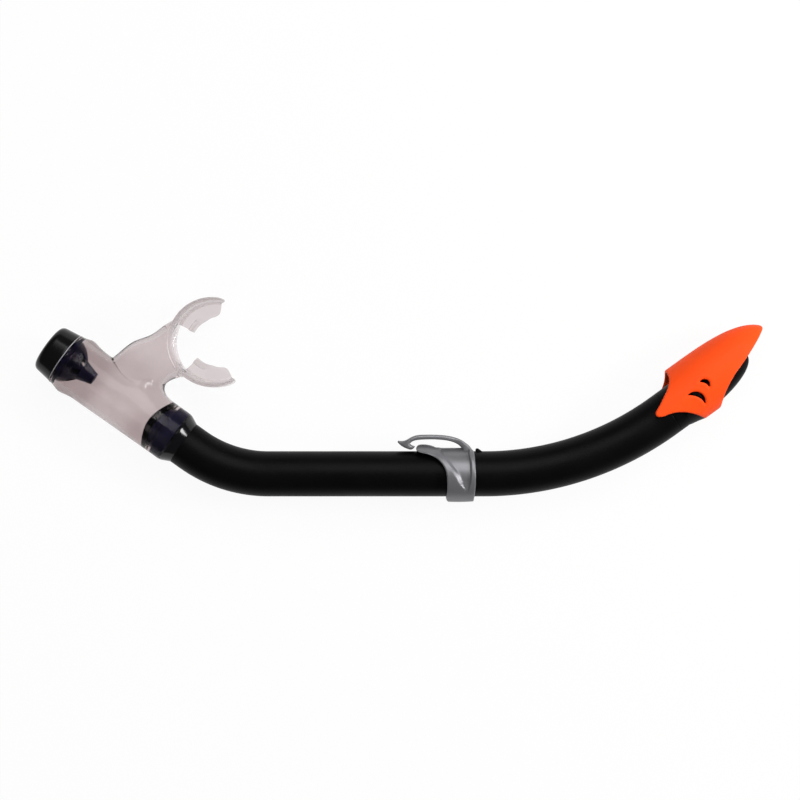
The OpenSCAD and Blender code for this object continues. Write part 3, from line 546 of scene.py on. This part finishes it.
def mouthpiece_field(t, y, z):
    """Barrel, stem and lip plate run together, less the passage."""
    radius = np.hypot(y, z)
    back = SEAM - t
    skin = np.interp(back, BARREL_BACK, BARREL_RADIUS)
    # The barrel swells over the valve's ring and has a fine lip at its end
    swell_at, swell_height, lip_at, lip_height = 7.8, 1.45, 0.6, 0.4
    spread = np.where(back < swell_at, 4.2, 5.2)
    skin = skin + swell_height * np.exp(-((back - swell_at) / spread) ** 2)
    skin = skin + lip_height * np.exp(-((back - lip_at) / 0.5) ** 2)
    barrel = smooth_max(radius - skin, np.maximum(SLEEVE_START - t, t - SEAM + SEAL_THICK), 0.7)
    mx, my = mouth_place(t, y)
    stem = stem_field(mx, my, z, wall=0, end_drop=0, height=STEM_LIP_RISE)
    stem = smooth_max(stem, LIP_CURVE - np.hypot(mx - LIP_CURVE, my), 0.5)
    # The stem stops inside the barrel, so that it doesn't swell the barrel's far side
    stem = np.maximum(stem, y + 8)
    # A wide fillet at the stem's lower root, and a fine crease along each flank
    flank = soft_step((np.abs(z) - 5) / 4) * soft_step((my + 22) / 10)
    crease = 0.55 * np.exp(-((barrel - stem) / 0.8) ** 2) * flank
    body = smooth_min(barrel, stem, 0.4 + root_fillet(my)) + crease
    # A small flat on each flank fills the corner between the barrel and the stem's lower root
    dt, dy, dz = t - ROOT_FLAT[0], y - ROOT_FLAT[1], np.abs(z) - ROOT_FLAT[2]
    flat = ROOT_FLAT_FACING[0] * dt + ROOT_FLAT_FACING[1] * dy + ROOT_FLAT_FACING[2] * dz
    near = np.sqrt(dt * dt + dy * dy + dz * dz) - ROOT_FLAT_RADIUS
    body = smooth_min(body, smooth_max(flat, near, 1.6), 0.8)
    body = smooth_min(body, lip_field(mx, my + LIP_DROP, z), 2.4)
    return smooth_max(body, -passage_field(t, y, z), 0.7)


mouthpiece = solid_skin("mouthpiece_skin", mouthpiece_field, (-3, -85, -18.6), (91, 19, 18.6), 0.58,
                        LOWER_END, LOWER_TURN)


# How dark the clear rubber looks: the outer skin takes the rubber's own tint on the stem. On the barrel,
# where the rubber is thick, it takes painted shade on top of that, most of it near the black parts at the
# barrel's ends, which darken it. The lip plate takes none, the bite tabs some painted shade, and both are
# frosted.
STEM_TONE = 0.44
BARREL_PAINTED_SHADE = 0.26
END_PAINTED_SHADE = 0.34
TAB_PAINTED_SHADE = 0.39
FROST_RADIUS = 26.8
TAB_RADIUS = 23.2
places = np.empty(len(mouthpiece.data.vertices) * 3)
mouthpiece.data.vertices.foreach_get("co", places)
places = places.reshape(-1, 3) * 1000
t = (places[:, :2] - LOWER_END) @ heading
out = (places[:, :2] - LOWER_END) @ np.array([-heading[1], heading[0]])
mx, my = mouth_place(t, out)
from_middle = np.hypot(mx - LIP_CURVE, my)
frost = soft_step(FROST_RADIUS - from_middle)
tabs = soft_step((TAB_RADIUS - from_middle) / 1.2)
on_barrel = soft_step((out + 33) / 18)
# Painted shade near the black connector and the black valve at the barrel's two ends
shade_near_connector = soft_step((46 - t) / 16) * soft_step((out + 8) / 16)
shade_near_valve = soft_step((t - 58) / 14) * soft_step((out + 18) / 6)
outer_skin = soft_step((passage_field(t, out, places[:, 2] - LIE_HEIGHT) - 0.4) / 0.8)
tint_and_painted_shade = STEM_TONE + on_barrel * (BARREL_PAINTED_SHADE + END_PAINTED_SHADE * (shade_near_connector + shade_near_valve))
tint_and_painted_shade = tint_and_painted_shade * outer_skin * (1 - frost) + TAB_PAINTED_SHADE * frost * tabs
mouthpiece.data.attributes.new("tint_and_painted_shade", "FLOAT", "POINT").data.foreach_set("value", tint_and_painted_shade)
mouthpiece.data.attributes.new("frost", "FLOAT", "POINT").data.foreach_set("value", frost)


def clear_silicone():
    """Clear, faintly pink rubber that light passes through, with a soft uneven skin."""
    material = bpy.data.materials.new("clear_silicone")
    material.use_nodes = True
    nodes, links = material.node_tree.nodes, material.node_tree.links
    shader = nodes["Principled BSDF"]
    shader.inputs["Transmission Weight"].default_value = 1.0
    shader.inputs["IOR"].default_value = 1.2
    surface = nodes.new("ShaderNodeGroup")
    surface.node_tree = bpy.data.node_groups["moulded_surface"]
    # The rubber's tint and its painted shade, read from the skin, darken the colour from pale pink towards
    # pink-grey
    tint_and_painted_shade = nodes.new("ShaderNodeAttribute")
    tint_and_painted_shade.attribute_name = "tint_and_painted_shade"
    tint = nodes.new("ShaderNodeMix")
    tint.data_type = "RGBA"
    tint.inputs["A"].default_value = (0.945, 0.895, 0.900, 1)
    tint.inputs["B"].default_value = (0.450, 0.380, 0.380, 1)
    links.new(tint_and_painted_shade.outputs["Fac"], tint.inputs["Factor"])
    links.new(tint.outputs["Result"], surface.inputs["Color"])
    frost = nodes.new("ShaderNodeAttribute")
    frost.attribute_name = "frost"
    gloss = nodes.new("ShaderNodeMapRange")
    gloss.inputs["To Min"].default_value = 0.08
    gloss.inputs["To Max"].default_value = 0.26
    links.new(frost.outputs["Fac"], gloss.inputs["Value"])
    links.new(gloss.outputs["Result"], surface.inputs["Gloss"])
    for label, value in (("Cloud", 0.03), ("Pebble", 0.05), ("Pebble Scale", 300)):
        surface.inputs[label].default_value = value
    for source, target in (("Color", "Base Color"), ("Roughness", "Roughness"), ("Normal", "Normal")):
        links.new(surface.outputs[source], shader.inputs[target])
    # Thick rubber takes more of the light that passes through it than thin rubber
    depth = nodes.new("ShaderNodeVolumeAbsorption")
    depth.inputs["Color"].default_value = (0.31, 0.22, 0.22, 1)
    depth.inputs["Density"].default_value = 22
    links.new(depth.outputs["Volume"], nodes["Material Output"].inputs["Volume"])
    return material


mouthpiece.data.materials.append(clear_silicone())
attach(mouthpiece, "mouthpiece_body")
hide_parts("mouthpiece")


# Purge cap: a gloss black moulded cap pressed onto the valve's ring, with slots in its end face
# that let the water out. A thin ring of silicone seals it against the barrel, and its pale grey is a
# painted glint along the seam.
CAP_RADIUS = 15.6
CAP_TAPER = 0.14
CAP_HEIGHT = 12.4
CAP_CROWN = 0.004
CAP_GRIP = 3.3
CAP_FLOOR = 10.8


def cap_field(t, y, z):
    """Tapered cup with a rounded end, less its inside and six radial slots."""
    radius = np.hypot(y, z)
    height = t - SEAM
    side = radius - (CAP_RADIUS - CAP_TAPER * height)
    outside = smooth_max(side, height - CAP_HEIGHT + CAP_CROWN * radius ** 2, 3.0)
    outside = smooth_max(outside, 0.05 - height, 0.4)
    bore = np.where(height < CAP_GRIP, VALVE_RADIUS + 0.05, VALVE_BORE)
    inside = np.maximum(radius - bore, height - CAP_FLOOR)
    slot_half, slot_middle, slot_reach, slot_foot = 1.3, 6.4, 3.8, 10
    slot = np.maximum(np.abs(radius * np.sin(sixth_turn(y, z, 0))) - slot_half,
                      np.abs(radius - slot_middle) - slot_reach)
    slot = np.maximum(slot, slot_foot - height)
    return smooth_max(outside, -np.minimum(inside, slot), 0.4)


cap = solid_skin("cap_skin", cap_field, (SEAM - 0.5, -16.5, -16.5), (SEAM + 14.2, 16.5, 16.5), 0.42,
                 LOWER_END, LOWER_TURN)
cap.data.materials.append(plastic("gloss_black", (0.0035, 0.0035, 0.0035), 0.18, 0.1, 0.03, 1500, 0.2))
SEAL_BACK = SEAM - SEAL_THICK + 0.02
SEAL_RADIUS = 15.75
SEAL_BORE = 13.2
SEAL_OUTLINE = [(SEAL_BACK, SEAL_BORE, 0.1), (SEAL_BACK, SEAL_RADIUS, 0.15), (SEAM, SEAL_RADIUS, 0.15),
                (SEAM, SEAL_BORE, 0.1)]
seal = turned("cap_seal", filleted(SEAL_OUTLINE), LOWER_END, LOWER_TURN)
# The seal's pale grey colour is a painted glint: it stands in for the light line where the rubber's rim
# meets the cap
seal.data.materials.append(plastic("seal_painted_glint", (0.52, 0.50, 0.52), 0.4, 0.08, 0.05, 1500))
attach(seal, "mouthpiece_body")
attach(cap, "mouthpiece_body")
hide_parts("purge_cap")


# Cowl: a black moulded nose glued into the tube's upper end. Its air window lies on top, under the
# hood, and its chin runs up to the hood's floor.
UPPER_TURN = np.degrees(UPPER_BEND[1])
NOSE_START = 20
NOSE_LENGTH = 38.8
NOSE_HOLLOW = 37.0
HOOD_RISE = 2.5


def nose_field(u, radius, length, bar_radius):
    """Round bar that ends in half an ellipsoid, of the given length, past the start of the nose."""
    on_nose = np.maximum(u - NOSE_START, 0)
    return (np.sqrt((on_nose / length) ** 2 + (radius / bar_radius) ** 2) - 1) * bar_radius


def cowl_field(u, v, z):
    """Nosed bar with a chin that slopes out to the hood, and a seat for the hood, less the inside of the
    nose and an air window."""
    radius = np.hypot(v, z)
    body = np.maximum(nose_field(u, radius, NOSE_LENGTH, TUBE_RADIUS), UPPER_STUB + 0.02 - u)
    hood_axis = np.hypot(v - HOOD_RISE, z)
    chin_start, chin_end, chin_radius, chin_slope, chin_top = 10.9, 18.2, 15.3, 0.33, -6.4
    chin = np.maximum(hood_axis - chin_radius - (u - 11.0) * chin_slope, v - chin_top)
    chin = smooth_max(chin, np.maximum(chin_start - u, u - chin_end), 0.8)
    seat_radius, seat_middle, seat_half = 16.1, 20.4, 2
    seat = np.maximum(hood_axis - seat_radius, np.abs(u - seat_middle) - seat_half)
    body = smooth_min(smooth_min(body, chin, 2.5), seat, 0.5)
    hollow = nose_field(u, radius, NOSE_HOLLOW, AIRWAY_RADIUS)
    window_middle, window_reach, window_half = 38.4, 12, 7.5
    window = np.maximum(np.abs(u - window_middle) - window_reach, np.abs(z) - window_half)
    window = np.maximum(window, -v)
    return smooth_max(body, -np.minimum(hollow, window), 0.5)


cowl = solid_skin("cowl_skin", cowl_field, (2.2, -17, -17.2), (61, 21, 17.2), 0.55, UPPER_END, UPPER_TURN)
cowl.data.materials.append(plastic("cowl_plastic", (0.0024, 0.0024, 0.0026), 0.42, 0.10, 0.06, 1800, 0.06))
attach(cowl, "tube_body")
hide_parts("top_cowl")


# Splash hood: a thin orange moulding that snaps over the cowl's seat. It is open below its long tip,
# two ears reach back along the tube, and each flank has two crescent gills.
HOOD_BACK = 16.4
HOOD_RADIUS = 17.76
HOOD_INNER_RADIUS = 16.2
HOOD_LENGTH = 61.0
HOOD_INNER_LENGTH = 59.3
HOOD_BLUNTNESS = 3.4
HOOD_EDGE = [
    ((78.0, 21.4), None), ((15.4, 21.4), (15.6, 14.4)), ((5.0, 9.8), (0.4, 7.2)),
    ((-3.6, 5.7), (-7.5, 2.85)), ((-1.4, 0.6), (10.5, -1.2)), ((18.4, -16.4), None),
    ((28.4, -16.4), (32.0, -8.6)), ((46.3, -3.2), (62.0, 1.8)), ((74.0, 7.0), (75.1, 7.6)),
    ((75.5, 9.2), None), ((78.0, 12.6), None)]


def curved_outline(segments, steps=8):
    """Closed outline of [point, pull] segments: each is a quadratic curve from its point to the next
    segment's point, drawn towards its pull, or a straight line if the pull is None."""
    starts = np.array([point for point, _ in segments], float)
    ends = np.roll(starts, -1, 0)
    middles = (starts + ends) / 2
    pulls = np.array([pull or tuple(middle) for (_, pull), middle in zip(segments, middles)], float)
    s = np.linspace(0, 1, steps, endpoint=False)[None, :, None]
    curve = (1 - s) ** 2 * starts[:, None] + 2 * s * (1 - s) * pulls[:, None] + s * s * ends[:, None]
    return curve.reshape(-1, 2)


def crescent(u, v, at, degrees, chord, rises):
    """Moon between two arcs over one chord, in the flank's plane; negative inside."""
    turn = np.radians(degrees)
    p = (u - at[0]) * np.cos(turn) + (v - at[1]) * np.sin(turn)
    q = -(u - at[0]) * np.sin(turn) + (v - at[1]) * np.cos(turn)
    outer, inner = ((chord * chord / 4 + rise * rise) / (2 * rise) for rise in rises)
    return np.maximum(np.hypot(p - rises[0] + outer, q) - outer,
                      inner - np.hypot(p - rises[1] + inner, q))


hood_edge = curved_outline(HOOD_EDGE)


def blunt_field(u, radius, length, bar_radius):
    """Round bar with a blunt nose of the given length, which starts at the hood's back."""
    on_nose = np.maximum(u - HOOD_BACK, 0)
    return (np.sqrt((on_nose / length) ** HOOD_BLUNTNESS + (radius / bar_radius) ** 2) - 1) * bar_radius


def hood_field(u, v, z):
    """Round shell with a blunt nose, cut by the side outline, with a dished lip round each gill."""
    radius = np.hypot(v - HOOD_RISE, z)
    gills = np.minimum(crescent(u, v, (HOOD_BACK + 2.3, -2.35), 30, 11.4, (4.3, 1.6)),
                       crescent(u, v, (HOOD_BACK + 10.8, 1.9), 27, 6.2, (3.1, 0.9)))
    swell = 0.13 * np.exp(-((gills - 1.4) / 1.3) ** 2) - 0.30 * np.exp(-(gills / 0.9) ** 2)
    outer = blunt_field(u, radius, HOOD_LENGTH, HOOD_RADIUS) - swell
    inner = blunt_field(u, radius, HOOD_INNER_LENGTH, HOOD_INNER_RADIUS)
    shell = smooth_max(outer, -inner, 0.3)
    shell = smooth_max(shell, outline_field(u, v, hood_edge), 1.0)
    return smooth_max(shell, -gills, 0.6)


hood = solid_skin("hood_skin", hood_field, (-7.0, -17.0, -19.0), (79, 22, 19.0), 0.55,
                  UPPER_END, UPPER_TURN)
hood.data.materials.append(plastic("orange_plastic", (1.0, 0.083, 0.010), 0.52, 0.03, 0.05, 1600, 0.08))
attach(hood, "tube_body")
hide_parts("splash_hood")


# Strap clip: one silver-grey moulding that snaps round the tube and turns on it. The collar has a
# swept front rim, a rib along its back edge and a dished panel between them.
COLLAR_BORE = 13.0
PANEL_RADIUS = 15.0
RIM_HEIGHT = 1.5
NOSE_HEIGHT = 0.6
COLLAR_EDGE = [
    ((41.0, -15.9), (48.3, -16.4)), ((55.2, -15.6), (57.2, -2.0)), ((55.4, 12.6), (54.6, 15.0)),
    ((51.0, 15.0), None), ((34.0, 15.0), (30.5, 16.9)), ((26.2, 16.9), (22.8, 16.8)),
    ((22.7, 14.0), (22.6, 12.8)), ((25.2, 12.2), (38.9, 10.4)), ((40.0, -2.0), (40.4, -9.0)),
    ((39.8, -12.6), (39.4, -15.0))]
collar_edge = curved_outline(COLLAR_EDGE)


def collar_field(x, y, z):
    """Band round the tube, cut by its side outline, thicker along the front rim, the rib and the lower
    side, and at the nose that the gate's barb closes on."""
    radius = np.hypot(y, z)
    crease = np.interp(y, [-8.7, -5.8, 2.7, 8.15, 13.0], [51.0, 48.6, 44.3, 40.3, 36.0])
    rib = np.interp(y, [-9.0, -4.7, 0.5, 6.0, 12.0], [51.8, 53.1, 53.6, 53.4, 52.4])
    bevel = 1.5 + 1.7 * soft_step((5 - y) / 5) - 1.2 * soft_step((-3 - y) / 6)
    front = np.clip((crease - x) / bevel + 0.5, 0, 1)
    back = soft_step((x - rib) / 0.9 + 0.5)
    lower = soft_step((-3.0 - y) / 8)
    raised = np.maximum(np.maximum(front, back), lower)
    thick = PANEL_RADIUS + RIM_HEIGHT * raised + NOSE_HEIGHT * soft_step((34 - x) / 6)
    band = smooth_max(radius - thick, COLLAR_BORE - radius, 0.3)
    return smooth_max(band, outline_field(x, y, collar_edge), 0.8)


collar = solid_skin("collar_skin", collar_field, (21.5, -17.4, -18.2), (58, 18.2, 18.2), 0.45,
                    STRAIGHT_MIDDLE, 0)
silver_plastic = plastic("silver_plastic", (0.20, 0.20, 0.212), 0.40, 0.08, 0.08, 2200, 0.5)
silver_plastic.node_tree.nodes["Principled BSDF"].inputs["Metallic"].default_value = 0.45
collar.data.materials.append(silver_plastic)
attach(collar, "clip_body")
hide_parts("clip_collar")


# Gate: the springy arm of the same moulding. It grows out of the collar's rib, runs forward over
# the strap slot and ends in a thumb tip with a barb that closes on the collar's nose.
GATE_EDGE = [
    ((54.8, 11.5), (55.0, 15.0)), ((50.5, 17.9), (47.0, 20.9)), ((39.1, 21.9), (33.0, 22.5)),
    ((24.9, 22.2), (21.3, 22.0)), ((18.0, 19.8), (15.6, 18.2)), ((12.6, 18.9), None),
    ((12.0, 18.2), (14.2, 15.2)), ((19.0, 13.9), (20.8, 13.5)), ((22.1, 15.9), (20.8, 15.6)),
    ((19.1, 17.1), (20.0, 19.2)), ((25.0, 19.5), (33.0, 20.0)), ((39.1, 19.2), (46.5, 18.2)),
    ((48.9, 14.2), None), ((48.4, 11.2), None)]
gate_edge = curved_outline(GATE_EDGE)


def gate_field(x, y, z):
    """Side outline carried across the tube, wider at the root, narrower at the tip, with rounded edges."""
    arm_half, root_more, tip_less = 5.6, 1.6, 1.2
    half_width = arm_half + root_more * soft_step((x - 44) / 8) - tip_less * soft_step((19 - x) / 6)
    arm = smooth_max(outline_field(x, y, gate_edge), np.abs(z) - half_width, 1.3)
    return np.maximum(arm, COLLAR_BORE + 0.2 - np.hypot(y, z))


gate = solid_skin("gate_skin", gate_field, (11, 10, -8.2), (56, 23.5, 8.2), 0.4, STRAIGHT_MIDDLE, 0)
gate.data.materials.append(silver_plastic)
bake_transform(gate)
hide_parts("clip_gate")


# White paper, soft lamps and the camera above. The paper shows as white to the camera and in
# reflections, and still takes the snorkel's shadow.
def white_paper():
    """Diffuse white paper, mostly covered by plain white where a camera, mirror or glass ray meets it."""
    material = bpy.data.materials.new("white_paper")
    material.use_nodes = True
    nodes, links = material.node_tree.nodes, material.node_tree.links
    nodes.remove(nodes["Principled BSDF"])
    paper = nodes.new("ShaderNodeBsdfDiffuse")
    paper.inputs["Color"].default_value = (0.9, 0.9, 0.9, 1)
    white = nodes.new("ShaderNodeEmission")
    path = nodes.new("ShaderNodeLightPath")
    seen = nodes.new("ShaderNodeMath")
    glass = nodes.new("ShaderNodeMath")
    cover = nodes.new("ShaderNodeMath")
    seen.use_clamp = glass.use_clamp = True
    cover.operation = "MULTIPLY"
    cover.inputs[1].default_value = 0.94
    mix = nodes.new("ShaderNodeMixShader")
    links.new(path.outputs["Is Camera Ray"], seen.inputs[0])
    links.new(path.outputs["Is Glossy Ray"], seen.inputs[1])
    links.new(seen.outputs[0], glass.inputs[0])
    links.new(path.outputs["Is Transmission Ray"], glass.inputs[1])
    links.new(glass.outputs[0], cover.inputs[0])
    links.new(cover.outputs[0], mix.inputs["Fac"])
    links.new(paper.outputs[0], mix.inputs[1])
    links.new(white.outputs[0], mix.inputs[2])
    links.new(mix.outputs[0], nodes["Material Output"].inputs["Surface"])
    return material


corners = np.array([(-3, -3, 0), (3, -3, 0), (3, 3, 0), (-3, 3, 0)], float)
paper = make_mesh("paper", corners, np.array([[0, 1, 2, 3]]))
paper.data.materials.append(white_paper())

world = bpy.data.worlds.new("studio")
bpy.context.scene.world = world
world.use_nodes = True
world.node_tree.nodes["Background"].inputs["Color"].default_value = (1, 1, 1, 1)
world.node_tree.nodes["Background"].inputs["Strength"].default_value = 0.14


def softbox(name, at, size, power, mirrored=True):
    """Rectangular lamp at a place, facing the middle of the snorkel, seen in reflections if mirrored."""
    lamp = bpy.data.lights.new(name, "AREA")
    lamp.shape = "RECTANGLE"
    lamp.size, lamp.size_y = size
    lamp.energy = power
    holder = bpy.data.objects.new(name, lamp)
    away = np.array(at) - np.array([0, 0, 0.02])
    away = away / np.linalg.norm(away)
    side = np.cross([0, 0, 1], away)
    side = side / np.linalg.norm(side)
    up = np.cross(away, side)
    rows = np.column_stack([side, up, away, at])
    holder.matrix_world = Matrix([*rows.tolist(), (0, 0, 0, 1)])
    holder.visible_glossy = mirrored
    bpy.context.scene.collection.objects.link(holder)


softbox("key_softbox", (0.27, 0.71, 1.15), (1.00, 1.00), 12.6)
softbox("fill_softbox", (-0.55, -0.60, 1.00), (0.60, 0.60), 2.6, False)
softbox("side_softbox", (0.95, 0.10, 0.60), (0.31, 0.24), 7.0)

CAMERA_HEIGHT = 1.25
PICTURE_WIDTH = 0.456
PICTURE_MIDDLE = (0.00085, -0.00037)
camera_lens = bpy.data.cameras.new("camera")
camera_lens.sensor_width = 36
camera_lens.lens = camera_lens.sensor_width * CAMERA_HEIGHT / PICTURE_WIDTH
camera = bpy.data.objects.new("camera", camera_lens)
camera.location = (*PICTURE_MIDDLE, CAMERA_HEIGHT + LIE_HEIGHT / 1000)
bpy.context.scene.collection.objects.link(camera)
bpy.context.scene.camera = camera
bpy.context.scene.view_settings.view_transform = "Standard"
